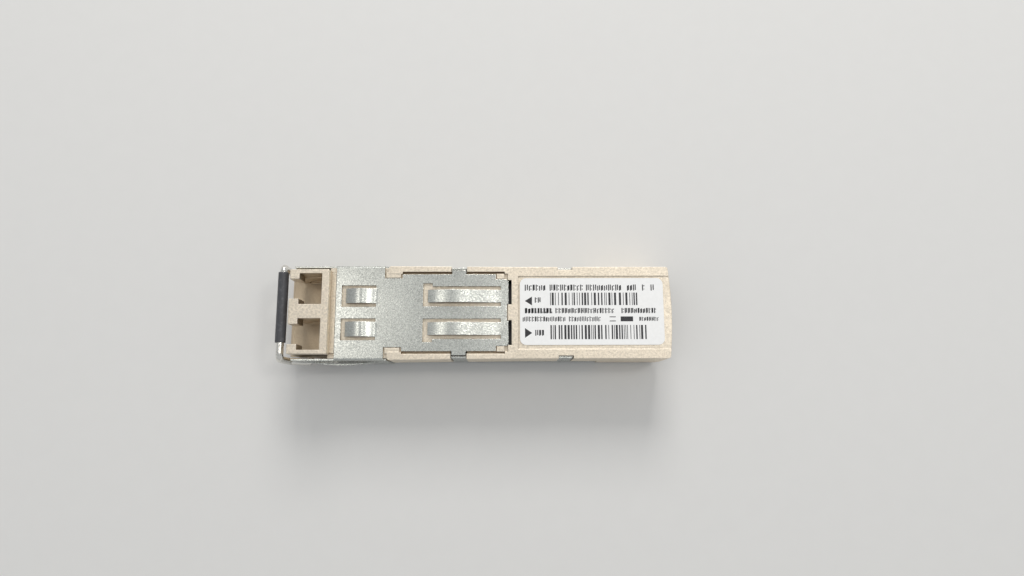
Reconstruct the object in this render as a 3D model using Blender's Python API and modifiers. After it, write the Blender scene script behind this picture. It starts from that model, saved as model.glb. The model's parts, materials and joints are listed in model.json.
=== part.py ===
"""A small pluggable optical transceiver: cast housing, EMI shield, bail latch, LC ports and circuit board.

Dimensions are in millimetres in the drawing frame: x runs from the nose's front face to the electrical end,
y is across with 0 on the centre plane, and z is up from the underside of the bottom cover. One empty moves
the whole drawing frame, so that the world origin is under the middle of the module, at its lowest point.
"""

import math

import bmesh
import bpy
from mathutils import Matrix, Vector

MM = 0.001
FAR = 20.0  # reach of a cutter that runs out of the part
GAP = 0.05  # assembly gap between fitted pieces

# Body
LENGTH = 55.2
HEIGHT = 8.5
REAR_HALF = 6.7
RAIL_FRONT_HALF = 6.85
TAPER_END_X = 33.0
REAR_CORNER_X = 54.78
REAR_BULGE_HALF = 5.6
BODY_EDGE = 0.12
RAIL_FRONT_X = 13.93
RAIL_INNER_Y = 6.0
SHOULDER_HALF = 6.6
CAVITY_HALF = 5.75
CAVITY_FRONT_X = 10.9
CAVITY_ROOF_Z = 7.3
COVER_START_X = 13.9
COVER_END_X = 44.8
BOARD_RIB_X = (19.5, 41.5)
BOARD_RIB_LENGTH = 1.2

# Nose with two LC ports
NOSE_LENGTH = 5.7
NOSE_HALF = 6.1
NOSE_HEIGHT = 10.1
NOSE_EDGE = 0.14
LIP_X = -1.8
LIP_HALF = 5.85
LIP_BOTTOM_Z = 0.9
LIP_EDGE = 0.32
PORT_PITCH = 6.25
PORT_WIDTH = 4.6
WINDOW_PITCH = 6.53
WINDOW_WIDTH = 4.5
PORT_FLOOR_Z = 2.3
PORT_ROOF_Z = 7.2
PORT_DEPTH = 9.3
WINDOW_START_X = 1.42
WINDOW_END_X = 4.67
LATCH_SLOT_WIDTH = 2.9
GROOVE_X = 0.9  # low grooves along both side walls of a port
GROOVE_DEPTH = 0.28
GROOVE_Z = (2.35, 3.3)
UNDERCUT_Z = (3.6, 4.4)
UNDERCUT_DEPTH = 0.25
AXIS_Z = 4.6
BORE_RADIUS = 1.62

# Sheet metal
SHEET = 0.25
SHIELD_HALF = 6.9
SHIELD_FRONT_X = 6.38
SHIELD_END_X = 31.35
SHIELD_NARROW_HALF = 5.6
ARM_TOP_Z = 8.2
ARM_FRONT_X = 0.15
FINGER_RISE = 0.55
BOW_RISE = 0.5
HOOK_X = (23.1, 25.4)
SECOND_NOTCH_X = (38.65, 40.8)
END_TAB_X = (31.27, 31.42)
END_TAB_Y = (1.15, 4.75)
TAB_SLOT_END_X = 31.9
BOW_X = (1.3, 13.6)
BOW_Z = (3.9, 5.4)
COVER_HALF = 6.6
COVER_FLANGE_Z = 2.85

# Label
POCKET_X = 32.85
POCKET_HALF = 5.33
POCKET_FLOOR_Z = 8.35
LABEL_X = (33.1, 54.0)
LABEL_Y = (-4.75, 5.03)
LABEL_CORNER = 0.9

# Bail
WIRE_RADIUS = 0.53
BAR_X = -1.3
BAR_Z = 8.7
LEG_X = -1.5
LEG_Y = 6.66
KNEE_Z = 3.6
CRANK_END_Y = 4.35
TIGHT_BEND = 0.55
BAR_BEND = 0.8
PIVOT_X = 1.3
PIVOT_Z = 1.5
CRANK = 0.7
GRIP_RADIUS = 0.75
GRIP_LENGTH = 10.2
GRIP_MIDDLE_Y = 0.75

# Latch
ROCKER_PIVOT_X = 6.0
ROCKER_PIVOT_Z = 0.75
ROCKER_Z = (0.35, 0.8)
LUG_RADIUS = 0.68
PIN_RADIUS = 0.38
PIN_PLAY = 0.04
PIN_LENGTH = 8.8
BOSS_X = (10.2, 12.8)
BOSS_Z = -0.45
LATCH_POCKET_X = 13.6
LATCH_POCKET_ROOF = 1.8
CRANK_BAY_ROOF = 2.1
LEG_CLEARANCE_Z = 3.1

# Circuit board
BOARD_Z = (2.25, 3.25)
BOARD_X = (17.5, 52.0)
BOARD_HALF = 5.5
EDGE_HALF = 4.6
EDGE_START_X = 44.5
CONTACT_PITCH = 0.8
CONTACTS_PER_SIDE = 10

FRONT_MOST_X = BAR_X - GRIP_RADIUS
ORIGIN = Vector(((FRONT_MOST_X + LENGTH) / 2, 0, BOSS_Z))


# ---------------------------------------------------------------- scene helpers


def clear_scene():
    for obj in list(bpy.data.objects):
        bpy.data.objects.remove(obj, do_unlink=True)


def collection(name):
    made = bpy.data.collections.new(name)
    bpy.context.scene.collection.children.link(made)
    return made


def empty(name, at, parent=None):
    made = bpy.data.objects.new(name, None)
    made.empty_display_size = 0.002
    made.location = Vector(at) * MM
    made.parent = parent
    PARTS.objects.link(made)
    return made


def material(name, colour, roughness, metallic):
    made = bpy.data.materials.new(name)
    made.use_nodes = True
    shader = made.node_tree.nodes["Principled BSDF"]
    shader.inputs["Base Color"].default_value = (*colour, 1)
    shader.inputs["Roughness"].default_value = roughness
    shader.inputs["Metallic"].default_value = metallic
    return made


def mesh_object(name, mesh, finish=None):
    """An object in the drawing frame, with its mesh already in metres."""
    made = bpy.data.objects.new(name, mesh)
    if finish:
        mesh.materials.clear()
        mesh.materials.append(finish)
    PARTS.objects.link(made)
    made.parent = FRAME
    return made


def object_from_bmesh(name, shape, finish=None):
    mesh = bpy.data.meshes.new(name)
    bmesh.ops.recalc_face_normals(shape, faces=shape.faces)
    shape.to_mesh(mesh)
    shape.free()
    return mesh_object(name, mesh, finish)


def hang_on(obj, pivot):
    """Gives a moving piece the pivot as its parent, without moving it."""
    obj.parent = pivot
    obj.location = -pivot.location


def hide_tool(tool):
    PARTS.objects.unlink(tool)
    TOOLS.objects.link(tool)
    tool.hide_render = True
    tool.display_type = "WIRE"


def boolean(target, tools, operation):
    for tool in tools:
        step = target.modifiers.new(f"{operation.lower()}_{tool.name}", "BOOLEAN")
        step.operation = operation
        step.object = tool
        hide_tool(tool)
    return target


def cut(target, *tools):
    return boolean(target, tools, "DIFFERENCE")


def join(target, *tools):
    return boolean(target, tools, "UNION")


def soften_edges(obj, width, segments=2):
    edges = obj.modifiers.new("edges", "BEVEL")
    edges.width = width * MM
    edges.segments = segments
    edges.limit_method = "ANGLE"
    return obj


def round_shading(obj, angle=35):
    obj.data.shade_smooth()
    obj.data.set_sharp_from_angle(angle=math.radians(angle))
    return obj


# ---------------------------------------------------------------- shapes


def box(name, low, high, finish=None):
    """A block between two corners; a pair given high to low on an axis is put in order."""
    low, high = (Vector(map(pick, zip(low, high))) * MM for pick in (min, max))
    shape = bmesh.new()
    place = Matrix.Translation((low + high) / 2) @ Matrix.Diagonal((*(high - low), 1))
    bmesh.ops.create_cube(shape, size=1, matrix=place)
    return object_from_bmesh(name, shape, finish)


def both_sides(name, low, high):
    """The same block at +y and at -y."""
    mirrored = [(p[0], -p[1], p[2]) for p in (low, high)]
    return [box(f"{name}_left", low, high), box(f"{name}_right", *mirrored)]


AXES = {
    "x": Matrix.Rotation(math.pi / 2, 4, "Y"),
    "y": Matrix.Rotation(-math.pi / 2, 4, "X"),
    "z": Matrix(),
}


def cylinder(name, radius, centre, axis, length, segments=24, finish=None):
    """A cylinder whose middle is at centre."""
    shape = bmesh.new()
    place = Matrix.Translation(Vector(centre) * MM) @ AXES[axis]
    bmesh.ops.create_cone(
        shape, cap_ends=True, segments=segments, radius1=radius * MM, radius2=radius * MM,
        depth=length * MM, matrix=place)
    return object_from_bmesh(name, shape, finish)


def turned(name, profile, centre, finish, steps=28):
    """A piece turned about a line along x: (radius, x) points run down the outside and back up the bore."""
    mesh = bpy.data.meshes.new(name)
    points = [Vector((radius, 0, -along)) * MM for radius, along in profile]
    closed = profile[0][0] > 0
    edges = [(i, i + 1) for i in range(len(points) - 1)]
    if closed:
        edges.append((len(points) - 1, 0))
    mesh.from_pydata(points, edges, [])
    made = mesh_object(name, mesh, finish)
    screw = made.modifiers.new("turn", "SCREW")
    screw.steps = steps
    screw.render_steps = steps
    screw.use_merge_vertices = True
    screw.merge_threshold = 1e-6
    screw.use_smooth_shade = False
    made.rotation_euler = (0, -math.pi / 2, 0)
    made.location = Vector(centre) * MM
    return made


def prism(name, outline, axis, low, high, finish=None):
    """A flat outline given thickness along an axis: (x, y) points for z, (x, z) for y and (y, z) for x."""
    curve = bpy.data.curves.new(name, "CURVE")
    curve.dimensions = "2D"
    curve.fill_mode = "BOTH"
    curve.extrude = (high - low) / 2 * MM
    spline = curve.splines.new("POLY")
    spline.points.add(len(outline) - 1)
    for point, (u, v) in zip(spline.points, outline):
        point.co = (u * MM, v * MM, 0, 1)
    spline.use_cyclic_u = True
    guide = bpy.data.objects.new(name, curve)
    PARTS.objects.link(guide)
    graph = bpy.context.evaluated_depsgraph_get()
    mesh = bpy.data.meshes.new_from_object(guide.evaluated_get(graph))
    bpy.data.objects.remove(guide)
    shape = bmesh.new()
    shape.from_mesh(mesh)
    bpy.data.meshes.remove(mesh)
    bmesh.ops.remove_doubles(shape, verts=shape.verts, dist=1e-6)
    middle = (low + high) / 2 * MM
    columns, middle = {
        "z": (((1, 0, 0), (0, 1, 0), (0, 0, 1)), middle),
        "y": (((1, 0, 0), (0, 0, 1), (0, -1, 0)), -middle),
        "x": (((0, 1, 0), (0, 0, 1), (1, 0, 0)), middle),
    }[axis]
    turn = Matrix(columns).transposed().to_4x4()
    shape.transform(turn @ Matrix.Translation((0, 0, middle)))
    shape.normal_update()
    return object_from_bmesh(name, shape, finish)


def rounded_path(corners, radius, steps=5):
    """The points of a line through the corners, each inner corner turned on an arc."""
    corners = [Vector(corner) for corner in corners]
    path = [corners[0]]
    for before, corner, after in zip(corners, corners[1:], corners[2:]):
        into = (corner - before).normalized()
        out = (after - corner).normalized()
        turn = into.angle(out)
        normal = (out - into * into.dot(out)).normalized()
        start = corner - into * radius * math.tan(turn / 2)
        centre = start + normal * radius
        for step in range(steps + 1):
            angle = turn * step / steps
            path.append(centre + (into * math.sin(angle) - normal * math.cos(angle)) * radius)
    return path + [corners[-1]]


def rounded_rectangle(low, high, radius, steps=4):
    (left, bottom), (right, top) = low, high
    corners = [(right, top, 0), (left, top, 90), (left, bottom, 180), (right, bottom, 270)]
    outline = []
    for x, y, start in corners:
        centre_x = x - math.copysign(radius, x - (left + right) / 2)
        centre_y = y - math.copysign(radius, y - (bottom + top) / 2)
        for step in range(steps + 1):
            angle = math.radians(start + 90 * step / steps)
            outline.append((centre_x + radius * math.cos(angle), centre_y + radius * math.sin(angle)))
    return outline


def band(path, thickness):
    """The closed outline of a strip of even thickness below a line of (u, v) points."""
    lower = []
    for i, point in enumerate(path):
        ahead = Vector(path[min(i + 1, len(path) - 1)]) - Vector(path[max(i - 1, 0)])
        normal = Vector((-ahead.y, ahead.x)).normalized()
        lower.append(tuple(Vector(point) - normal * thickness))
    return [tuple(point) for point in path] + lower[::-1]


def wire(name, path, radius, finish, sides=4):
    curve = bpy.data.curves.new(name, "CURVE")
    curve.dimensions = "3D"
    curve.bevel_depth = radius * MM
    curve.bevel_resolution = sides
    curve.use_fill_caps = True
    spline = curve.splines.new("POLY")
    spline.points.add(len(path) - 1)
    for point, place in zip(spline.points, path):
        point.co = (*(Vector(place) * MM), 1)
    curve.materials.append(finish)
    made = bpy.data.objects.new(name, curve)
    PARTS.objects.link(made)
    made.parent = FRAME
    return made


# ---------------------------------------------------------------- housing


def rear_block_outline():
    """The rails' rounded front ends, the taper, and the bulged rear end."""
    side = rounded_path(
        [(RAIL_FRONT_X - 0.4, 0, 0), (RAIL_FRONT_X, RAIL_INNER_Y - 1.0, 0),
         (RAIL_FRONT_X, RAIL_FRONT_HALF, 0),
         (TAPER_END_X, REAR_HALF, 0), (REAR_CORNER_X, REAR_HALF, 0),
         (REAR_CORNER_X + 0.12, REAR_BULGE_HALF, 0)],
        0.35, 4)
    upper = [(point.x, point.y) for point in side[1:-1]]
    bulge = LENGTH - REAR_CORNER_X
    end = []
    for step in range(13):
        across = 1 - step / 6
        end.append((LENGTH - bulge * 0.72 * across ** 2, REAR_BULGE_HALF * across))
    lower = [(x, -y) for x, y in reversed(upper)]
    return upper + end + lower


def port_cutters(side, sign):
    """Plug tunnel with low grooves, top window, slot between the latch shoulders, and the barrel's bore."""
    centre_y = sign * PORT_PITCH / 2
    half = PORT_WIDTH / 2
    slot = LATCH_SLOT_WIDTH / 2
    window_y = sign * WINDOW_PITCH / 2
    window_half = WINDOW_WIDTH / 2
    cutter_z = PORT_ROOF_Z - 0.5
    tunnel = box(
        f"port_{side}_tunnel", (-1, centre_y - half, PORT_FLOOR_Z),
        (PORT_DEPTH, centre_y + half, PORT_ROOF_Z))
    window = box(
        f"port_{side}_window", (WINDOW_START_X, window_y - window_half, cutter_z),
        (WINDOW_END_X, window_y + window_half, FAR))
    latch_slot = box(
        f"port_{side}_slot", (-1, window_y - slot, cutter_z), (WINDOW_START_X + 0.5, window_y + slot, FAR))
    groove_half = half + GROOVE_DEPTH
    groove = box(
        f"port_{side}_groove", (GROOVE_X, centre_y - groove_half, GROOVE_Z[0]),
        (PORT_DEPTH - 0.5, centre_y + groove_half, GROOVE_Z[1]))
    undercut_half = half + UNDERCUT_DEPTH
    undercut = box(
        f"port_{side}_undercut", (WINDOW_START_X, centre_y - undercut_half, UNDERCUT_Z[0]),
        (WINDOW_END_X, centre_y + undercut_half, UNDERCUT_Z[1]))
    bore = cylinder(f"port_{side}_bore", BORE_RADIUS, (PORT_DEPTH + 0.8, centre_y, AXIS_Z), "x", 3.0, 28)
    return [tunnel, window, latch_slot, groove, undercut, bore]


def front_lip():
    """The sill that carries the port floors out in front of the nose, with a chamfered edge."""
    top = PORT_FLOOR_Z
    outline = [
        (0.5, LIP_BOTTOM_Z), (LIP_X + LIP_EDGE, LIP_BOTTOM_Z), (LIP_X, LIP_BOTTOM_Z + LIP_EDGE),
        (LIP_X, top - LIP_EDGE), (LIP_X + LIP_EDGE, top), (0.5, top)]
    return prism("front_lip", outline, "y", -LIP_HALF, LIP_HALF)


def make_housing(finish):
    housing = box("housing", (0, -NOSE_HALF, 0), (NOSE_LENGTH, NOSE_HALF, NOSE_HEIGHT), finish)
    soften_edges(housing, NOSE_EDGE)
    shoulder = box(
        "shoulder", (NOSE_LENGTH - 0.3, -SHOULDER_HALF, 0),
        (RAIL_FRONT_X + 0.3, SHOULDER_HALF, HEIGHT - SHEET - GAP))
    strip = box("strip", (NOSE_LENGTH - 0.3, -5.85, 8.0), (SHIELD_FRONT_X - GAP, 5.85, HEIGHT))
    rear = prism("rear_block", rear_block_outline(), "z", 0, HEIGHT)
    soften_edges(rear, BODY_EDGE)
    join(housing, shoulder, strip, rear, front_lip())
    shield_bed = box(
        "shield_bed", (SHIELD_FRONT_X, -5.7, HEIGHT - SHEET - GAP), (SHIELD_END_X, 5.7, FAR))
    grooves = both_sides("side_groove", (16.0, 5.65, 7.6), (30.9, RAIL_INNER_Y, FAR))
    cut(housing, shield_bed, *grooves)
    ears = both_sides("ear", (13.6, 5.12, 8.0), (15.75, 5.95, HEIGHT - 0.04))
    corner_pads = both_sides("corner_pad", (29.75, 4.95, 8.0), (30.85, 5.68, HEIGHT - 0.06))
    join(housing, *ears, *corner_pads)
    slot_z = CAVITY_ROOF_Z - 0.2
    slots = both_sides(
        "tab_slot", (END_TAB_X[0] - GAP, END_TAB_Y[0], slot_z), (TAB_SLOT_END_X, END_TAB_Y[1], FAR))
    slot_feet = both_sides("tab_slot_foot", (30.95, 4.4, slot_z), (31.5, END_TAB_Y[1], FAR))
    pocket = box("label_pocket", (POCKET_X, -POCKET_HALF, POCKET_FLOOR_Z), (FAR * 3, POCKET_HALF, FAR))
    cut(housing, *slots, *slot_feet, pocket)
    hook_notch = both_sides("hook_notch", (HOOK_X[0], 5.55, 7.0), (HOOK_X[1], FAR, FAR))
    hook_recess = both_sides("hook_recess", (HOOK_X[0], 6.3, 2.0), (HOOK_X[1], FAR, FAR))
    rear_notch = both_sides("rear_notch", (SECOND_NOTCH_X[0], 6.28, 2.0), (SECOND_NOTCH_X[1], FAR, FAR))
    cut(housing, *hook_notch, *hook_recess, *rear_notch)
    for side, sign in (("left", 1), ("right", -1)):
        cut(housing, *port_cutters(side, sign))
    cut(housing, *interior_cutters())
    cut(housing, *underside_cutters())
    return join(housing, *board_clamps())


def interior_cutters():
    front = box(
        "osa_bay", (CAVITY_FRONT_X, -CAVITY_HALF, 2.1), (LATCH_POCKET_X + 1, CAVITY_HALF, CAVITY_ROOF_Z))
    main = box("main_bay", (LATCH_POCKET_X + 0.6, -CAVITY_HALF, -1), (FAR * 3, CAVITY_HALF, CAVITY_ROOF_Z))
    return [front, main]


def underside_cutters():
    latch_bay = box("latch_bay", (2.6, -3.0, -1), (LATCH_POCKET_X, 3.0, LATCH_POCKET_ROOF))
    crank_bay = box("crank_bay", (-1, -5.0, -1), (2.7, 5.0, CRANK_BAY_ROOF))
    pivot = cylinder("bail_pivot_hole", WIRE_RADIUS + 0.06, (PIVOT_X, 0, PIVOT_Z), "y", 16, 20)
    pin = cylinder("latch_pin_hole", PIN_RADIUS + PIN_PLAY, (ROCKER_PIVOT_X, 0, ROCKER_PIVOT_Z), "y", 9.0, 16)
    leg_relief = both_sides("leg_relief", (-1, 5.9, -1), (2.45, FAR, LEG_CLEARANCE_Z))
    cover_front = COVER_START_X - GAP
    cover_back = COVER_END_X + GAP
    flange_recess = both_sides(
        "flange_recess", (cover_front, COVER_HALF - SHEET - GAP, -1), (cover_back, FAR, COVER_FLANGE_Z + 0.1))
    cover_bed = box("cover_bed", (cover_front, -FAR, -1), (cover_back, FAR, SHEET + GAP))
    flap_bed = both_sides("flap_bed", (SHIELD_FRONT_X - GAP, 3.95, -1), (13.86, FAR, SHEET + GAP))
    chamfer = prism(
        "rear_chamfer", [(53.4, -0.2), (55.6, -0.2), (55.6, 2.0), (55.35, 2.0)], "y", -FAR, FAR)
    return [latch_bay, crank_bay, pivot, pin, *leg_relief, *flange_recess, cover_bed, *flap_bed, chamfer]


def board_clamps():
    """Ribs that reach down from the roof and hold the board against the cover's posts."""
    ribs = []
    for index, x in enumerate(BOARD_RIB_X):
        ribs += both_sides(
            f"board_clamp_{index}", (x, 4.85, BOARD_Z[1] + GAP),
            (x + BOARD_RIB_LENGTH, CAVITY_HALF + 0.2, CAVITY_ROOF_Z + 0.2))
    return ribs


# ---------------------------------------------------------------- sheet metal


def finger_path(root_x, tip_x, rise, crest):
    """The side view of a contact finger: up from its root, over a crest, and curled down at its free tip."""
    path = []
    for step in range(17):
        along = step / 16
        if along < crest:
            lift = math.sin(math.pi * along / crest / 2) ** 2
        else:
            lift = 1 - 0.8 * ((along - crest) / (1 - crest)) ** 2
        path.append((tip_x + (root_x + 0.3 - tip_x) * (1 - along), HEIGHT + rise * lift))
    return path[::-1]


def finger(name, sign, root_x, tip_x, inner, outer, crest):
    low, high = sorted((sign * inner, sign * outer))
    return prism(name, band(finger_path(root_x, tip_x, FINGER_RISE, crest), 0.2), "y", low, high)


def bow(name, sign):
    """A side spring joined at both ends, seen from above."""
    start, end = BOW_X
    path = []
    for step in range(19):
        along = step / 18
        swell = math.sin(math.pi * along ** 0.85) ** 1.4
        path.append((start + (end - start) * along, SHIELD_HALF - 0.02 + (BOW_RISE + 0.02) * swell))
    outline = [(x, sign * y) for x, y in band(path, SHEET - 0.05)]
    return prism(name, outline, "z", *BOW_Z)


def shield_wide_part():
    outer = rounded_rectangle((-SHIELD_HALF, 0), (SHIELD_HALF, HEIGHT), 0.3, 3)
    return prism("emi_shield", outer, "x", SHIELD_FRONT_X, 13.8)


def make_shield(finish):
    shield = shield_wide_part()
    shield.data.materials.append(finish)
    inner = box(
        "shield_inside", (-FAR, -SHIELD_HALF + SHEET, SHEET), (FAR * 3, SHIELD_HALF - SHEET, HEIGHT - SHEET))
    belly = box("shield_belly", (0, -4.0, -1), (FAR, 4.0, 1))
    cut(shield, inner, belly)
    arms = both_sides(
        "arm", (ARM_FRONT_X, SHIELD_HALF - SHEET, 0.9), (SHIELD_FRONT_X + 0.2, SHIELD_HALF, ARM_TOP_Z))
    narrow = box(
        "narrow_part", (13.7, -SHIELD_NARROW_HALF, HEIGHT - SHEET),
        (END_TAB_X[1], SHIELD_NARROW_HALF, HEIGHT))
    join(shield, *arms, narrow)
    cut(shield, *both_sides("leg_clearance", (-1, 5, 0), (2.35, FAR, LEG_CLEARANCE_Z + 0.05)))
    cut(shield, *both_sides("bow_window", (1.6, 6, 3.5), (13.3, FAR, 5.8)))
    cut(shield, *both_sides("ear_cutout", (13.4, 5.02, 8), (16.0, FAR, FAR)))
    cut(shield, *both_sides("corner_cutout", (29.6, 4.85, 8), (FAR * 3, FAR, FAR)))
    tab_inner, tab_outer = END_TAB_Y[0] + 0.1, END_TAB_Y[1] - 0.1
    cut(shield, box("end_trim", (END_TAB_X[0] - GAP, -tab_inner, 8), (FAR * 3, tab_inner, FAR)))
    cut(shield, *both_sides("end_side_trim", (SHIELD_END_X - 0.1, tab_outer, 8), (FAR * 3, FAR, FAR)))
    windows = both_sides("short_window", (7.19, 0.85, 8), (12.2, 4.0, FAR))
    windows += both_sides("long_window", (19.02, 0.9, 8), (30.33, 3.85, FAR))
    windows += both_sides("window_lobe", (19.02, 3.8, 8), (20.4, 4.3, FAR))
    cut(shield, *windows)
    for side, sign in (("left", 1), ("right", -1)):
        join(shield, finger(f"short_finger_{side}", sign, 12.2, 7.85, 1.35, 3.5, 0.55))
        join(shield, finger(f"long_finger_{side}", sign, 30.33, 19.75, 1.45, 3.3, 0.7))
        join(shield, bow(f"bow_{side}", sign))
    hooks = both_sides("hook_top", (23.25, 5.4, HEIGHT - SHEET), (25.25, 6.2, HEIGHT))
    hooks += both_sides("hook_drop", (23.25, 5.95, 7.15), (25.25, 6.2, HEIGHT))
    end_tabs = both_sides("end_tab", (END_TAB_X[0], 1.3, 7.5), (END_TAB_X[1], 4.6, HEIGHT))
    return join(shield, *hooks, *end_tabs)


def make_bottom_cover(finish):
    start, end = COVER_START_X, COVER_END_X
    outer = COVER_HALF
    cover = box("bottom_cover", (start, -outer, 0), (end, outer, COVER_FLANGE_Z), finish)
    inner = box("cover_inside", (start - 1, -outer + SHEET, SHEET), (end + 1, outer - SHEET, FAR))
    cut(cover, inner)
    tabs = both_sides("hook_catch", (HOOK_X[0] + 0.1, outer - SHEET, 2.0), (HOOK_X[1] - 0.1, outer, 8.3))
    tabs += both_sides(
        "rear_catch", (SECOND_NOTCH_X[0] + 0.1, outer - SHEET, 2.0), (SECOND_NOTCH_X[1] - 0.1, outer, 8.0))
    posts = []
    for index, x in enumerate(BOARD_RIB_X):
        posts += both_sides(
            f"board_post_{index}", (x, 4.7, 0.1), (x + BOARD_RIB_LENGTH, 5.3, BOARD_Z[0] - GAP))
    join(cover, *tabs, *posts)
    cut(cover, *both_sides("belly_window", (17.2, 1.2, -1), (21.6, 3.9, 1)))
    for side, sign in (("left", 1), ("right", -1)):
        path = [(x, -(z - HEIGHT) * 0.55) for x, z in finger_path(21.6, 17.6, FINGER_RISE, 0.6)][::-1]
        low, high = sorted((sign * 1.6, sign * 3.5))
        join(cover, prism(f"belly_finger_{side}", band(path, 0.2), "y", low, high))
    return cover


def make_label(finish):
    outline = rounded_rectangle((LABEL_X[0], LABEL_Y[0]), (LABEL_X[1], LABEL_Y[1]), LABEL_CORNER, 5)
    return prism("product_label", outline, "z", POCKET_FLOOR_Z + 0.03, POCKET_FLOOR_Z + 0.13, finish)


# ---------------------------------------------------------------- bail and latch


def bail_path():
    """From the left crank, round the bar, to the right crank."""
    half = [
        (PIVOT_X - CRANK, CRANK_END_Y, PIVOT_Z), (PIVOT_X, CRANK_END_Y, PIVOT_Z), (PIVOT_X, LEG_Y, PIVOT_Z),
        (LEG_X, LEG_Y, KNEE_Z), (LEG_X, LEG_Y, BAR_Z - 1.4), (BAR_X, LEG_Y, BAR_Z), (BAR_X, 0, BAR_Z)]
    sharp = rounded_path(half[:4], TIGHT_BEND, 4)[:-1]
    soft = rounded_path([half[2], *half[3:]], BAR_BEND, 5)[1:]
    left = sharp + soft[:-1]
    return left + [Vector((point.x, -point.y, point.z)) for point in reversed(left)]


def make_bail(wire_finish, grip_finish):
    pivot = empty("bail_axis", (PIVOT_X, 0, PIVOT_Z), FRAME)
    bail = wire("bail_wire", bail_path(), WIRE_RADIUS, wire_finish)
    middle = (BAR_X, GRIP_MIDDLE_Y, BAR_Z)
    grip = cylinder("bail_grip", GRIP_RADIUS, middle, "y", GRIP_LENGTH, 28, grip_finish)
    cut(grip, cylinder("grip_bore", WIRE_RADIUS + GAP, middle, "y", GRIP_LENGTH + 2, 20))
    round_shading(grip)
    for piece in (bail, grip):
        hang_on(piece, pivot)


def boss_profile():
    """The latch boss from the side: a square locking shoulder at the front and a ramp behind it."""
    front, back = BOSS_X
    root_z = ROCKER_Z[0] + 0.1
    return [(front, root_z), (front, BOSS_Z), (front + 0.9, BOSS_Z), (back, root_z)]


def make_latch(rocker_finish, pin_finish, spring_finish):
    pivot = empty("rocker_axis", (ROCKER_PIVOT_X, 0, ROCKER_PIVOT_Z), FRAME)
    low, high = ROCKER_Z
    outline = [(0.5, 4.85), (2.2, 4.85), (2.2, 2.6), (13.1, 2.0)]
    outline += [(x, -y) for x, y in reversed(outline)]
    rocker = prism("latch_rocker", outline, "z", low, high, rocker_finish)
    boss = prism("latch_boss", boss_profile(), "y", -1.3, 1.3)
    axis = (ROCKER_PIVOT_X, 0, ROCKER_PIVOT_Z)
    lug = cylinder("rocker_lug", LUG_RADIUS, axis, "y", 5.0, 20)
    join(rocker, boss, lug)
    cut(rocker, cylinder("rocker_bore", PIN_RADIUS + 1.5 * PIN_PLAY, axis, "y", PIN_LENGTH, 16))
    hang_on(rocker, pivot)
    pin = cylinder("latch_pin", PIN_RADIUS, axis, "y", PIN_LENGTH, 16, pin_finish)
    round_shading(pin)
    roof = LATCH_POCKET_ROOF - 0.04
    path = [
        (7.6, roof), (8.6, roof), (9.4, roof - 0.1), (11.4, roof - 0.62), (12.3, roof - 0.78),
        (12.8, roof - 0.7)]
    prism("latch_spring", band(path, 0.12), "y", -0.9, 0.9, spring_finish)


# ---------------------------------------------------------------- optics


def barrel_profile():
    return [(1.45, 6.9), (1.45, 9.2), (1.55, 9.35), (1.55, 10.95), (2.2, 10.95), (2.2, 11.6), (2.0, 11.6),
            (2.0, 13.2), (0.95, 13.2), (0.95, 7.3), (1.05, 6.9)]


def make_optics(name, centre_y, finishes):
    barrel_finish, ceramic, can_finish, glass, flex_finish = finishes
    centre = (0, centre_y, AXIS_Z)
    round_shading(turned(f"{name}_barrel", barrel_profile(), centre, barrel_finish))
    round_shading(turned(
        f"{name}_ferrule_sleeve", [(0.9, 7.4), (0.9, 12.6), (0.64, 12.6), (0.64, 7.4)], centre, ceramic))
    can = turned(
        f"{name}_can",
        [
            (0.75, 13.25), (1.85, 13.25), (1.85, 15.6), (2.25, 15.6), (2.25, 16.2), (0, 16.2), (0, 14.3),
            (0.75, 14.3)],
        centre, can_finish)
    leads = []
    holes = []
    for index in range(4):
        angle = math.radians(45 + 90 * index)
        place = (16.6, centre_y + 0.9 * math.cos(angle), AXIS_Z + 0.9 * math.sin(angle))
        leads.append(cylinder(f"{name}_lead_{index}", 0.2, place, "x", 1.0, 8))
        holes.append(cylinder(f"{name}_hole_{index}", 0.26, place, "x", 1.6, 8))
    join(can, *leads)
    turned(
        f"{name}_lens", [(0, 13.4), (0.45, 13.46), (0.7, 13.65), (0.7, 14.15), (0, 14.15)], centre, glass, 20)
    make_flex(f"{name}_flex", centre_y, holes, flex_finish)


def make_flex(name, centre_y, holes, finish):
    """A flexible circuit from the can's leads down to the board."""
    board_top = BOARD_Z[1] + GAP
    sides = rounded_path(
        [(16.55, AXIS_Z + 1.9, 0), (16.55, board_top + 0.15, 0), (19.2, board_top + 0.15, 0)], 0.7, 5)
    path = [(point.x, point.y) for point in sides]
    flex = prism(name, band(path, 0.12), "y", centre_y - 1.5, centre_y + 1.5, finish)
    cut(flex, *holes)


def make_clamp(finish):
    clamp = box("osa_clamp", (11.75, -5.6, 2.2), (12.95, 5.6, 7.1), finish)
    bores = [
        cylinder(f"clamp_bore_{side}", 2.07, (12.3, sign * PORT_PITCH / 2, AXIS_Z), "x", 4, 28)
        for side, sign in (("left", 1), ("right", -1))]
    waist = box("clamp_waist", (11, -0.6, 3.0), (14, 0.6, 6.2))
    return cut(clamp, *bores, waist)


# ---------------------------------------------------------------- circuit board


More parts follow.
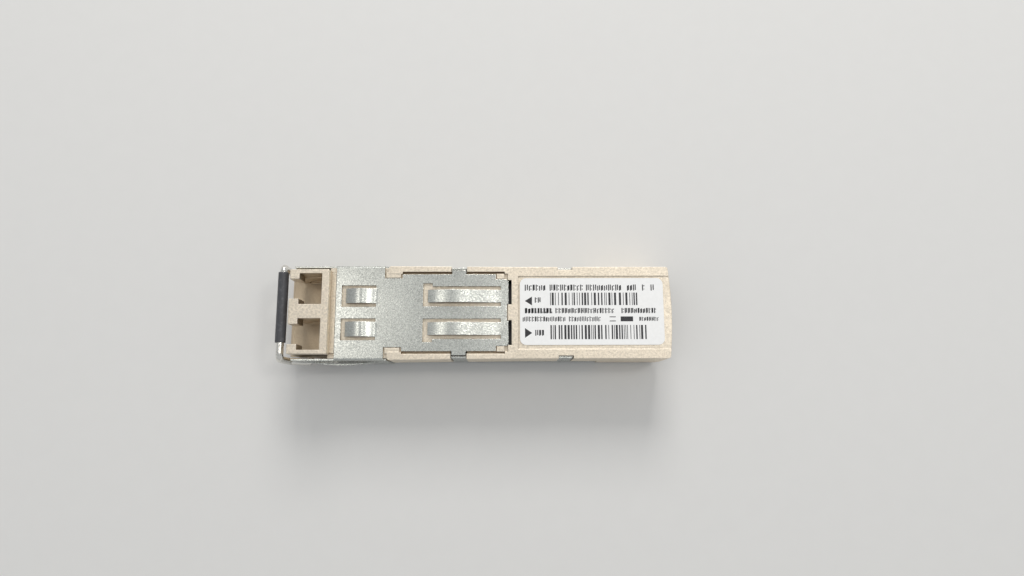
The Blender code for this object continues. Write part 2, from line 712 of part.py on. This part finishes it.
def make_board(finish):
    start, end = BOARD_X
    outline = rounded_rectangle((start, -BOARD_HALF), (EDGE_START_X, BOARD_HALF), 0.4, 2)
    board = prism("circuit_board", outline, "z", *BOARD_Z, finish)
    tongue = prism("board_tongue", [
        (EDGE_START_X - 1, -EDGE_HALF), (end - 0.4, -EDGE_HALF), (end, -EDGE_HALF + 0.4),
        (end, EDGE_HALF - 0.4), (end - 0.4, EDGE_HALF), (EDGE_START_X - 1, EDGE_HALF)], "z", *BOARD_Z)
    return join(board, tongue)


def make_contacts(finish):
    first = -(CONTACTS_PER_SIDE - 1) / 2 * CONTACT_PITCH
    for index in range(CONTACTS_PER_SIDE):
        y = first + index * CONTACT_PITCH
        long_pad = index % 4 == 0
        start = 48.6 if long_pad else 49.0
        for side, z in (("top", BOARD_Z[1] + 0.01), ("bottom", BOARD_Z[0] - 0.06)):
            name = f"edge_contact_{side}_{index + 1:02d}"
            box(name, (start, y - 0.27, z), (BOARD_X[1] - 0.45, y + 0.27, z + GAP), finish)


def chip(name, centre, size, height, finish):
    """A moulded package with its edges bevelled, standing on the board."""
    x, y = centre
    half_x, half_y = size[0] / 2, size[1] / 2
    base = BOARD_Z[1] + GAP
    made = box(name, (x - half_x, y - half_y, base), (x + half_x, y + half_y, base + height), finish)
    edge = made.modifiers.new("edges", "BEVEL")
    edge.width = 0.08 * MM
    edge.segments = 1
    return made


def make_components(black, ferrite, ceramic):
    chip("laser_driver", (22.4, 2.9), (3.0, 3.0), 0.85, black)
    chip("limiting_amplifier", (22.4, -2.9), (3.0, 3.0), 0.85, black)
    chip("monitor_controller", (30.5, 0.6), (4.0, 4.0), 0.9, black)
    chip("memory_chip", (38.2, -2.6), (3.0, 2.0), 0.75, black)
    chip("inductor_transmit", (27.0, 4.1), (1.6, 0.9), 0.8, ferrite)
    chip("inductor_receive", (27.0, -4.1), (1.6, 0.9), 0.8, ferrite)
    places = [
        (25.2, 0.6), (25.2, -0.8), (34.4, 3.6), (34.4, 2.2), (34.4, -3.8), (36.4, 1.4), (40.2, 2.9),
        (42.6, 0)]
    for index, place in enumerate(places):
        chip(f"capacitor_{index + 1:02d}", place, (1.0, 0.55), 0.5, ceramic)


def make_pads(thermal_finish, absorber_finish):
    base = BOARD_Z[1] + GAP + 0.85 + GAP
    box("thermal_pad", (20.9, 1.4, base), (23.9, 4.4, CAVITY_ROOF_Z - GAP), thermal_finish)
    box("absorber_sheet", (26.5, -4.4, 6.75), (41.0, 4.4, CAVITY_ROOF_Z - GAP), absorber_finish)


# ---------------------------------------------------------------- assembly


def make_module():
    cast = material("nickel_plated_casting", (0.72, 0.66, 0.55), 0.42, 1.0)
    sheet = material("spring_steel_sheet", (0.62, 0.64, 0.62), 0.38, 1.0)
    nickel = material("nickel_wire", (0.75, 0.74, 0.7), 0.25, 1.0)
    steel = material("plain_steel", (0.5, 0.5, 0.5), 0.35, 1.0)
    gold = material("gold_plating", (0.9, 0.66, 0.25), 0.25, 1.0)
    white = material("label_film", (0.86, 0.87, 0.88), 0.45, 0.0)
    slate = material("grip_plastic", (0.05, 0.052, 0.065), 0.45, 0.0)
    black = material("moulded_package", (0.03, 0.03, 0.03), 0.55, 0.0)
    green = material("board_laminate", (0.03, 0.22, 0.09), 0.4, 0.0)
    ceramic = material("white_ceramic", (0.85, 0.84, 0.8), 0.3, 0.0)
    tan = material("capacitor_ceramic", (0.5, 0.38, 0.24), 0.45, 0.0)
    ferrite = material("ferrite", (0.12, 0.12, 0.12), 0.6, 0.0)
    glass = material("lens_glass", (0.8, 0.85, 0.9), 0.05, 0.0)
    amber = material("flex_film", (0.6, 0.33, 0.06), 0.35, 0.0)
    polymer = material("clamp_plastic", (0.08, 0.08, 0.08), 0.5, 0.0)
    silicone = material("silicone_pad", (0.5, 0.55, 0.62), 0.7, 0.0)
    foam = material("absorber", (0.1, 0.1, 0.1), 0.85, 0.0)
    make_housing(cast)
    make_shield(sheet)
    make_bottom_cover(sheet)
    make_label(white)
    make_bail(nickel, slate)
    make_latch(steel, steel, steel)
    for name, sign in (("transmit", 1), ("receive", -1)):
        make_optics(name, sign * PORT_PITCH / 2, (steel, ceramic, gold, glass, amber))
    make_clamp(polymer)
    make_board(green)
    make_contacts(gold)
    make_components(black, ferrite, tan)
    make_pads(silicone, foam)


clear_scene()
PARTS = collection("optical_transceiver_module")
TOOLS = collection("cutters")
FRAME = empty("module_frame", -ORIGIN)
make_module()
bpy.context.view_layer.update()
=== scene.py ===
import json
import math
import random

import bmesh
import bpy
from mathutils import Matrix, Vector


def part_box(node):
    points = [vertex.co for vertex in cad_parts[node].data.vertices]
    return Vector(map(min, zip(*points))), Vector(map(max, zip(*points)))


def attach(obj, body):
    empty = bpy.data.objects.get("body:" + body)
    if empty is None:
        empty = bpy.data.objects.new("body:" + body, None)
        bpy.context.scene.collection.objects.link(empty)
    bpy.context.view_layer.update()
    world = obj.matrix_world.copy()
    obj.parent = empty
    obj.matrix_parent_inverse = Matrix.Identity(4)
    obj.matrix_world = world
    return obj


MM = 0.001

# Camera, in millimetres and degrees: nearly straight down, from a little on the near side.
CAMERA_AT = (4.69, -14.07, 109.54)
CAMERA_TILT = 9.95
CAMERA_LEAN = -0.39
CAMERA_ROLL = -0.09
CAMERA_LENS = 24.61
SENSOR_WIDTH = 36.0

SMOOTH_ANGLE = 34

# The nose ends here along x, in millimetres, and painted shade darkens its plating with depth between these
# heights.
NOSE_END_X = (-20.6, -21.2)
NOSE_SHADE_Z = (9.6, 3.2)

FLOOR_RADIUS = 3.0  # metres
FLOOR_DROP = 0.02
LAMP_WARM = (1.0, 0.97, 0.93)

# Label print, in millimetres, measured from the label's left and top edges.
INK_THICKNESS = 0.006
INK_SINK = 0.002
BAR_MODULE = 0.118
STROKE = 0.16

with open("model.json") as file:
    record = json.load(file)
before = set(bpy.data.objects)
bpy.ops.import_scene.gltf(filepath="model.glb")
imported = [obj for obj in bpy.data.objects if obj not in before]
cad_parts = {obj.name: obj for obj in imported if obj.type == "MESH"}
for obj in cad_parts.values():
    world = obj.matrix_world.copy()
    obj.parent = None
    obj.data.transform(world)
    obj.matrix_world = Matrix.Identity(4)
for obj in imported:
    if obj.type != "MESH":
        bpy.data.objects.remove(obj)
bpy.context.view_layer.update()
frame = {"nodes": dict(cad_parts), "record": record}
nodes = frame["nodes"]


# ---------------------------------------------------------------- materials

class Finish:
    """One material: a Principled shader and the pattern nodes that feed it."""

    def __init__(self, name, colour, roughness, metallic=0.0, **sockets):
        self.material = bpy.data.materials.new(name)
        self.material.use_nodes = True
        self.material.diffuse_color = (*colour, 1.0)
        self.tree = self.material.node_tree
        self.shader = self.tree.nodes["Principled BSDF"]
        self.colour = colour
        self.set("Base Color", (*colour, 1.0))
        self.set("Roughness", roughness)
        self.set("Metallic", metallic)
        for socket, value in sockets.items():
            self.set(socket.replace("_", " "), value)
        self.bumps = None
        self.rounded = None

    def set(self, socket, value):
        self.shader.inputs[socket].default_value = value

    def add(self, kind, **settings):
        node = self.tree.nodes.new(kind)
        for name, value in settings.items():
            setattr(node, name, value)
        return node

    def link(self, output, socket):
        self.tree.links.new(output, socket)

    def feed(self, socket, output):
        self.link(output, self.shader.inputs[socket])

    def place(self, stretch=(1, 1, 1)):
        """Coordinates fixed to the piece, in metres, stretched along its axes."""
        where = self.add("ShaderNodeTexCoord")
        mapping = self.add("ShaderNodeMapping")
        mapping.inputs["Scale"].default_value = stretch
        self.link(where.outputs["Object"], mapping.inputs["Vector"])
        return mapping.outputs["Vector"]

    def noise(self, size, detail=2.0, stretch=(1, 1, 1), roughness=0.55):
        """Noise whose features are about size millimetres across."""
        node = self.add("ShaderNodeTexNoise")
        node.inputs["Scale"].default_value = 1 / (size * MM)
        node.inputs["Detail"].default_value = detail
        node.inputs["Roughness"].default_value = roughness
        self.link(self.place(stretch), node.inputs["Vector"])
        return node.outputs["Fac"]

    def ramp(self, value, low, high, start=0.0, end=1.0):
        node = self.add("ShaderNodeMapRange")
        for socket, number in (("From Min", low), ("From Max", high), ("To Min", start), ("To Max", end)):
            node.inputs[socket].default_value = number
        self.link(value, node.inputs["Value"])
        return node.outputs["Result"]

    def maths(self, operation, a, b):
        node = self.add("ShaderNodeMath", operation=operation)
        for socket, value in zip(node.inputs, (a, b)):
            if isinstance(value, (int, float)):
                socket.default_value = value
            else:
                self.link(value, socket)
        return node.outputs[0]

    def blend(self, factor, a, b, mode="MIX"):
        """A colour between a and b, which are colours or outputs."""
        node = self.add("ShaderNodeMix", data_type="RGBA", blend_type=mode)
        self.link(factor, node.inputs["Factor"])
        for name, value in (("A", a), ("B", b)):
            socket = [s for s in node.inputs if s.name == name and s.type == "RGBA"][0]
            if isinstance(value, tuple):
                socket.default_value = (*value, 1.0)
            else:
                self.link(value, socket)
        return [s for s in node.outputs if s.type == "RGBA"][0]

    def shade(self, factor):
        """The base colour multiplied by factor."""
        return tuple(min(1.0, c * factor) for c in self.colour)

    def bump(self, height, depth):
        """Relief of about depth millimetres, laid over any relief added before."""
        node = self.add("ShaderNodeBump")
        node.inputs["Strength"].default_value = 1.0
        node.inputs["Distance"].default_value = depth * MM
        self.link(height, node.inputs["Height"])
        if self.bumps is not None:
            self.link(self.bumps, node.inputs["Normal"])
        self.bumps = node.outputs["Normal"]
        self.feed("Normal", self.bumps)

    def round_edges(self, radius):
        """Normals as if each sharp edge had this radius. Relief added later lies over them."""
        bevel = self.add("ShaderNodeBevel", samples=6)
        bevel.inputs["Radius"].default_value = radius * MM
        self.bumps = self.rounded = bevel.outputs["Normal"]
        self.feed("Normal", self.bumps)

    def painted_nose_shade(self):
        """Rises towards 1 deep in the nose, where painted shade darkens the plating, and 0 on the rest of
        the housing.
        """
        parts = self.add("ShaderNodeSeparateXYZ")
        self.link(self.place(), parts.inputs["Vector"])
        depth = self.ramp(parts.outputs["Z"], *(z * MM for z in NOSE_SHADE_Z))
        along = self.ramp(parts.outputs["X"], *(x * MM for x in NOSE_END_X))
        return self.maths("MULTIPLY", depth, along)

    def edges(self):
        """Close to 1 along the rounded edges and 0 on flats."""
        geometry = self.add("ShaderNodeNewGeometry")
        dot = self.add("ShaderNodeVectorMath", operation="DOT_PRODUCT")
        self.link(self.rounded, dot.inputs[0])
        self.link(geometry.outputs["Normal"], dot.inputs[1])
        return self.ramp(dot.outputs["Value"], 0.995, 0.86)

    def painted_hollow_shade(self, reach, open_at=0.75, shut_at=0.2):
        """Close to 1 deep in corners and 0 in the open: the mask for painted shade in hollows."""
        node = self.add("ShaderNodeAmbientOcclusion", samples=6, only_local=False)
        node.inputs["Distance"].default_value = reach * MM
        return self.ramp(node.outputs["AO"], open_at, shut_at)


def cast_nickel():
    """Satin nickel over a sand-textured zinc casting."""
    look = Finish("cast_nickel", (0.92, 0.825, 0.682), 0.46, 1.0)
    look.round_edges(0.12)
    cloud = look.ramp(look.noise(2.4, 3), 0.3, 0.7)
    grain = look.ramp(look.noise(0.32, 4, roughness=0.75), 0.36, 0.60)
    sand = look.noise(0.12, 2)
    colour = look.blend(cloud, look.shade(0.93), look.shade(1.05))
    colour = look.blend(grain, look.shade(0.72), colour)
    # Lighter edge patches: rubbed wear, and in part a painted edge highlight.
    wear_and_highlight = look.maths("MULTIPLY", look.edges(), look.ramp(look.noise(0.6, 3), 0.35, 0.6))
    colour = look.blend(wear_and_highlight, colour, (0.95, 0.90, 0.80))
    # Painted shade: the casting is darkened deep in corners.
    colour = look.blend(look.painted_hollow_shade(0.9), colour, (0.40, 0.33, 0.24))
    # Painted shade: darker over wide hollows such as the port interiors.
    colour = look.blend(look.painted_hollow_shade(6, 0.5, 0.12), colour, (0.52, 0.42, 0.30))
    # Painted shade: the plating darkens deep inside the nose.
    colour = look.blend(look.painted_nose_shade(), colour, (0.66, 0.54, 0.39))
    look.feed("Base Color", colour)
    look.feed("Roughness", look.ramp(look.noise(0.35, 3), 0.3, 0.7, 0.38, 0.56))
    look.bump(grain, 0.008)
    look.bump(sand, 0.005)
    return look.material


def spring_sheet():
    """Matte rolled sheet with faint rolling lines and a fine mottle."""
    look = Finish("spring_sheet", (0.535, 0.548, 0.515), 0.28, 1.0)
    look.round_edges(0.06)
    mottle = look.ramp(look.noise(0.21, 4, roughness=0.75), 0.36, 0.64)
    clouds = look.ramp(look.noise(3.2, 2), 0.35, 0.65)
    lines = look.noise(0.05, 2, stretch=(0.03, 1, 1))
    colour = look.blend(mottle, look.shade(0.76), look.shade(1.24))
    colour = look.blend(look.maths("MULTIPLY", clouds, 0.4), colour, look.shade(1.16))
    # Lighter edge patches: bright cut and rubbed edges, and in part a painted edge highlight.
    wear_and_highlight = look.maths("MULTIPLY", look.edges(), look.ramp(look.noise(0.5, 2), 0.3, 0.55))
    colour = look.blend(wear_and_highlight, colour, (0.93, 0.92, 0.86))
    # Painted shade: the sheet is darkened deep in corners.
    colour = look.blend(look.painted_hollow_shade(0.5), colour, (0.30, 0.29, 0.26))
    look.feed("Base Color", colour)
    look.feed("Roughness", look.ramp(look.noise(0.22, 3), 0.3, 0.7, 0.20, 0.33))
    look.bump(mottle, 0.0009)
    look.bump(lines, 0.0010)
    return look.material


def drawn_wire():
    """Bright nickel-plated wire with faint drawing marks and scuffs."""
    look = Finish("drawn_wire", (0.77, 0.755, 0.71), 0.2, 1.0)
    scuff = look.ramp(look.noise(0.35, 4, roughness=0.7), 0.5, 0.72)
    look.feed("Base Color", look.blend(scuff, look.shade(1.03), look.shade(0.72)))
    look.feed("Roughness", look.ramp(look.noise(0.3, 3), 0.3, 0.7, 0.13, 0.32))
    look.bump(look.noise(0.12, 3), 0.003)
    return look.material


def satin_steel():
    look = Finish("satin_steel", (0.55, 0.545, 0.53), 0.33, 1.0)
    grain = look.noise(0.16, 3)
    look.feed("Base Color", look.blend(grain, look.shade(0.84), look.shade(1.12)))
    look.feed("Roughness", look.ramp(grain, 0.3, 0.7, 0.26, 0.42))
    look.bump(look.noise(0.05, 2, stretch=(0.1, 1, 1)), 0.002)
    return look.material


def gold_plate():
    """Hard gold with wipe marks along the direction of insertion."""
    look = Finish("gold_plate", (0.92, 0.68, 0.28), 0.22, 1.0)
    wipe = look.noise(0.05, 3, stretch=(0.04, 1, 1))
    look.feed("Base Color", look.blend(wipe, look.shade(0.86), look.shade(1.06)))
    look.feed("Roughness", look.ramp(wipe, 0.3, 0.7, 0.16, 0.32))
    look.bump(wipe, 0.0015)
    return look.material


def label_film():
    """White satin label stock with a faint mottle."""
    look = Finish("label_film", (0.94, 0.94, 0.93), 0.42, Specular_IOR_Level=0.45)
    mottle = look.noise(0.5, 3)
    look.feed("Base Color", look.blend(look.ramp(mottle, 0.35, 0.65), look.shade(0.975), look.shade(1.015)))
    look.feed("Roughness", look.ramp(look.noise(0.9, 2), 0.3, 0.7, 0.36, 0.5))
    look.bump(look.noise(0.25, 3), 0.0008)
    return look.material


def label_ink():
    """Thermal print: near black, with slightly uneven density."""
    look = Finish("label_ink", (0.012, 0.012, 0.015), 0.5)
    density = look.ramp(look.noise(0.10, 3), 0.35, 0.75)
    look.feed("Base Color", look.blend(density, look.colour, (0.05, 0.05, 0.055)))
    look.feed("Roughness", look.ramp(density, 0, 1, 0.42, 0.58))
    return look.material


def grip_plastic():
    """Slate-grey moulded sleeve with a fine spark texture and rubbed spots."""
    look = Finish("grip_plastic", (0.070, 0.071, 0.078), 0.42)
    look.round_edges(0.12)
    rub = look.ramp(look.noise(0.7, 4, roughness=0.7), 0.52, 0.75)
    grain = look.noise(0.09, 3)
    # Lighter edge patches: rubbed wear, and in part a painted edge highlight.
    wear_and_highlight = look.maths("MULTIPLY", look.edges(), look.noise(0.4, 3))
    colour = look.blend(rub, look.shade(0.85), look.shade(1.7))
    look.feed("Base Color", look.blend(wear_and_highlight, colour, (0.17, 0.17, 0.18)))
    look.feed("Roughness", look.ramp(grain, 0.3, 0.7, 0.34, 0.55))
    look.bump(grain, 0.006)
    return look.material


def solder_mask():
    """Green solder mask; copper runs show through as lighter green lines."""
    look = Finish("solder_mask", (0.018, 0.13, 0.055), 0.28, Coat_Weight=0.25)
    wave = look.add("ShaderNodeTexWave", wave_type="BANDS", bands_direction="Y")
    wave.inputs["Scale"].default_value = 0.45 / MM
    wave.inputs["Distortion"].default_value = 1.2
    wave.inputs["Detail"].default_value = 0.0
    wave.inputs["Detail Scale"].default_value = 0.3
    look.link(look.place(), wave.inputs["Vector"])
    runs = look.ramp(wave.outputs["Fac"], 0.62, 0.70)
    area = look.ramp(look.noise(3.0, 0, stretch=(0.5, 1, 1)), 0.48, 0.52)
    copper = look.maths("MULTIPLY", runs, area)
    look.feed("Base Color", look.blend(copper, look.shade(0.9), (0.05, 0.24, 0.10)))
    look.feed("Roughness", look.ramp(look.noise(0.2, 2), 0.3, 0.7, 0.22, 0.38))
    look.bump(copper, 0.02)
    return look.material


def moulded_black():
    look = Finish("moulded_black", (0.028, 0.028, 0.030), 0.5)
    grain = look.noise(0.06, 3)
    look.feed("Base Color", look.blend(grain, look.shade(0.7), look.shade(1.6)))
    look.feed("Roughness", look.ramp(grain, 0.3, 0.7, 0.42, 0.62))
    look.bump(grain, 0.006)
    return look.material


def speckled(name, colour, roughness, size, spread, relief, **sockets):
    """A matt material with a fine random speckle in colour, gloss and relief."""
    look = Finish(name, colour, roughness, **sockets)
    grain = look.ramp(look.noise(size, 3), 0.3, 0.7)
    look.feed("Base Color", look.blend(grain, look.shade(1 - spread), look.shade(1 + spread)))
    look.feed("Roughness", look.ramp(grain, 0, 1, roughness - 0.08, roughness + 0.08))
    look.bump(grain, relief)
    return look.material


def coated_glass():
    look = Finish("coated_glass", (0.75, 0.84, 0.95), 0.04, Transmission_Weight=1.0, IOR=1.52)
    look.feed("Roughness", look.ramp(look.noise(0.3, 2), 0.3, 0.7, 0.02, 0.09))
    return look.material


def flex_film():
    """Amber polyimide with copper tracks running along it."""
    look = Finish("flex_film", (0.52, 0.26, 0.045), 0.3, Coat_Weight=0.3)
    tracks = look.ramp(look.noise(0.16, 0, stretch=(0.02, 1, 0.02)), 0.5, 0.53)
    look.feed("Base Color", look.blend(tracks, look.shade(1.0), (0.62, 0.36, 0.12)))
    look.feed("Roughness", look.ramp(tracks, 0, 1, 0.24, 0.36))
    look.bump(tracks, 0.012)
    return look.material


FINISHES = {
    "nickel_plated_casting": cast_nickel(),
    "spring_steel_sheet": spring_sheet(),
    "nickel_wire": drawn_wire(),
    "plain_steel": satin_steel(),
    "gold_plating": gold_plate(),
    "label_film": label_film(),
    "grip_plastic": grip_plastic(),
    "board_laminate": solder_mask(),
    "moulded_package": moulded_black(),
    "clamp_plastic": moulded_black(),
    "white_ceramic": speckled("white_ceramic", (0.84, 0.83, 0.79), 0.25, 0.2, 0.03, 0.001),
    "capacitor_ceramic": speckled("capacitor_ceramic", (0.42, 0.30, 0.18), 0.5, 0.08, 0.2, 0.004),
    "ferrite": speckled("ferrite", (0.10, 0.10, 0.105), 0.6, 0.07, 0.25, 0.006),
    "silicone_pad": speckled("silicone_pad", (0.42, 0.48, 0.56), 0.7, 0.15, 0.12, 0.01),
    "absorber": speckled("absorber", (0.06, 0.06, 0.062), 0.8, 0.12, 0.3, 0.012),
    "lens_glass": coated_glass(),
    "flex_film": flex_film(),
}


# ---------------------------------------------------------------- CAD nodes

def smooth_by_angle():
    """A node group that shades smooth across edges flatter than SMOOTH_ANGLE."""
    group = bpy.data.node_groups.new("smooth_by_angle", "GeometryNodeTree")
    group.interface.new_socket("Geometry", in_out="INPUT", socket_type="NodeSocketGeometry")
    group.interface.new_socket("Geometry", in_out="OUTPUT", socket_type="NodeSocketGeometry")
    new = group.nodes.new
    link = group.links.new
    start = new("NodeGroupInput")
    end = new("NodeGroupOutput")
    plain = new("GeometryNodeRemoveAttribute")
    plain.inputs["Name"].default_value = "custom_normal"
    angle = new("GeometryNodeInputMeshEdgeAngle")
    flat = new("FunctionNodeCompare")
    flat.operation = "LESS_THAN"
    flat.inputs["B"].default_value = math.radians(SMOOTH_ANGLE)
    faces = new("GeometryNodeSetShadeSmooth")
    faces.domain = "FACE"
    edges = new("GeometryNodeSetShadeSmooth")
    edges.domain = "EDGE"
    link(start.outputs[0], plain.inputs["Geometry"])
    link(plain.outputs[0], faces.inputs["Geometry"])
    link(faces.outputs[0], edges.inputs["Geometry"])
    link(angle.outputs["Unsigned Angle"], flat.inputs["A"])
    link(flat.outputs[0], edges.inputs["Shade Smooth"])
    link(edges.outputs[0], end.inputs[0])
    return group


SMOOTH = smooth_by_angle()


def refine(piece):
    """Joins the facets of a solid and shades its curved faces smooth."""
    weld = piece.modifiers.new("weld", "WELD")
    weld.merge_threshold = 2e-7
    flats = piece.modifiers.new("flats", "DECIMATE")
    flats.decimate_type = "DISSOLVE"
    flats.angle_limit = math.radians(0.4)
    shading = piece.modifiers.new("shading", "NODES")
    shading.node_group = SMOOTH
    normals = piece.modifiers.new("normals", "WEIGHTED_NORMAL")
    normals.mode = "FACE_AREA"
    normals.keep_sharp = True


def dress_nodes():
    slots = {row["node"]: row["material_slot"] for row in frame["record"]["subparts"]}
    for name, node in nodes.items():
        node.material_slots[0].material = FINISHES[slots[name]]
        refine(node)


# ---------------------------------------------------------------- label print

class Print:
    """Ink on the label. Places are millimetres from the label's left and top edges."""

    def __init__(self):
        low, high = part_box("product_label")
        self.left = low.x / MM
        self.top = high.y / MM
        self.face = high.z / MM
        self.shape = bmesh.new()

    def patch(self, outline):
        """A raised patch of ink with the given outline, listed anticlockwise."""
        low = self.face - INK_SINK
        rings = []
        for height in (low, low + INK_THICKNESS):
            corners = [(self.left + x, self.top - y, height) for x, y in outline]
            rings.append([self.shape.verts.new(Vector(corner) * MM) for corner in corners])
        bottom, top = rings
        self.shape.faces.new(top)
        self.shape.faces.new(bottom[::-1])
        for i in range(len(outline)):
            j = (i + 1) % len(outline)
            self.shape.faces.new((bottom[i], bottom[j], top[j], top[i]))

    def bar(self, x0, x1, y0, y1):
        self.patch([(x0, y1), (x1, y1), (x1, y0), (x0, y0)])

    def arrow(self, x0, x1, y0, y1, points_left):
        middle = (y0 + y1) / 2
        if points_left:
            self.patch([(x0, middle), (x1, y1), (x1, y0)])
        else:
            self.patch([(x0, y1), (x1, middle), (x0, y0)])

    def code(self, x0, x1, y0, y1, draw):
        """Random upright bars, one to three modules wide."""
        x = x0
        while x < x1 - 3 * BAR_MODULE:
            width = draw.choice((1, 1, 1, 2, 2, 3)) * BAR_MODULE
            self.bar(x, x + width * 0.86, y0, y1)
            x += width + draw.choice((1, 1, 2, 2, 3)) * BAR_MODULE

    def words(self, x0, x1, y0, y1, draw, weight=1.0):
        """Placeholder type: loose upright strokes and dashes that spell nothing."""
        height = y1 - y0
        stroke = STROKE * weight
        x = x0
        while x < x1 - 0.5 * height:
            kind = draw.randrange(5)
            width = height * (0.34, 0.46, 0.52, 0.46, 0.40)[kind]
            rise = draw.choice((0.0, 0.0, 0.18)) * height
            self.bar(x, x + stroke, y0 + rise, y1)
            if kind in (0, 1, 2):
                self.bar(x + width - stroke, x + width, y0 + rise * 0.5, y1 - 0.1 * height)
            if kind == 2:
                middle = y0 + 0.42 * height
                self.bar(x + 1.4 * stroke, x + width - 1.4 * stroke, middle, middle + stroke)
            if kind in (3, 4):
                upper = y0 + 0.12 * height
                lower = y1 - 0.34 * height
                self.bar(x + 1.3 * stroke, x + width, upper, upper + stroke)
                self.bar(x + 1.5 * stroke, x + width * 0.9, lower, lower + stroke)
            x += width + 0.15 * height

    def finish(self):
        mesh = bpy.data.meshes.new("label_print")
        bmesh.ops.recalc_face_normals(self.shape, faces=self.shape.faces)
        self.shape.to_mesh(mesh)
        self.shape.free()
        piece = bpy.data.objects.new("label_print", mesh)
        bpy.context.scene.collection.objects.link(piece)
        mesh.materials.append(label_ink())
        return piece


def print_label():
    ink = Print()
    draw = random.Random(7)
    for start, end in ((0.72, 4.0), (4.35, 9.3), (9.65, 15.3), (15.65, 17.5), (17.85, 18.75), (19.1, 20.1)):
        ink.words(start, end, 0.96, 1.86, draw)
    ink.arrow(0.72, 1.76, 2.72, 4.02, points_left=True)
    ink.words(2.17, 3.5, 2.84, 3.62, draw)
    ink.code(4.4, 17.6, 2.15, 4.0, draw)
    ink.words(0.72, 4.8, 4.42, 5.18, draw, weight=1.6)
    ink.words(5.15, 13.95, 4.42, 5.18, draw)
    ink.words(14.75, 20.2, 4.42, 5.18, draw)
    ink.words(0.4, 6.9, 5.66, 6.38, draw, weight=0.8)
    ink.words(7.1, 11.9, 5.66, 6.38, draw, weight=0.8)
    ink.words(17.3, 20.2, 5.72, 6.32, draw, weight=0.8)
    ink.bar(13.0, 13.9, 5.66, 5.78)
    ink.bar(13.0, 13.9, 6.26, 6.38)
    ink.bar(14.6, 16.4, 5.66, 6.38)
    ink.arrow(0.72, 1.76, 7.33, 8.75, points_left=False)
    ink.words(2.2, 3.7, 7.6, 8.44, draw)
    ink.code(4.4, 18.95, 6.9, 8.96, draw)
    piece = ink.finish()
    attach(piece, "root")


# ---------------------------------------------------------------- studio

def area_light(name, at, size, power, colour=(1, 1, 1)):
    """A square soft light at a place in millimetres, aimed at the module."""
    data = bpy.data.lights.new(name, "AREA")
    data.size = size * MM
    data.energy = power
    data.color = colour
    light = bpy.data.objects.new(name, data)
    light.location = Vector(at) * MM
    light.rotation_euler = (-light.location).to_track_quat("-Z", "Y").to_euler()
    light.visible_camera = False
    bpy.context.scene.collection.objects.link(light)


def studio():
    world = bpy.data.worlds.new("studio")
    world.use_nodes = True
    background = world.node_tree.nodes["Background"]
    background.inputs["Color"].default_value = (0.96, 0.98, 1.0, 1.0)
    background.inputs["Strength"].default_value = 0.52
    bpy.context.scene.world = world
    area_light("key", (44, 56, 400), 26, 0.035, LAMP_WARM)
    area_light("right_soft", (200, 66, 380), 60, 0.16, LAMP_WARM)
    area_light("left_soft", (-126, 50, 380), 70, 0.045, (1.0, 0.96, 0.90))
    area_light("back_soft", (20, 430, 300), 200, 1.45, (1.0, 0.98, 0.95))
    mesh = bpy.data.meshes.new("floor")
    shape = bmesh.new()
    bmesh.ops.create_circle(shape, cap_ends=True, segments=96, radius=FLOOR_RADIUS)
    shape.to_mesh(mesh)
    shape.free()
    floor = bpy.data.objects.new("floor", mesh)
    floor.location.z = -FLOOR_DROP * MM
    bpy.context.scene.collection.objects.link(floor)
    look = Finish("floor", (0.74, 0.735, 0.72), 0.85)
    look.feed("Base Color", look.blend(look.noise(3, 4), look.shade(0.985), look.shade(1.015)))
    mesh.materials.append(look.material)


def camera():
    data = bpy.data.cameras.new("camera")
    data.lens = CAMERA_LENS
    data.sensor_width = SENSOR_WIDTH
    data.clip_start = 1 * MM
    data.clip_end = 100
    view = bpy.data.objects.new("camera", data)
    view.location = Vector(CAMERA_AT) * MM
    view.rotation_mode = "ZYX"
    view.rotation_euler = [math.radians(a) for a in (CAMERA_TILT, CAMERA_LEAN, CAMERA_ROLL)]
    bpy.context.scene.collection.objects.link(view)
    bpy.context.scene.camera = view


dress_nodes()
print_label()
studio()
camera()
bpy.context.scene.view_settings.view_transform = "Standard"
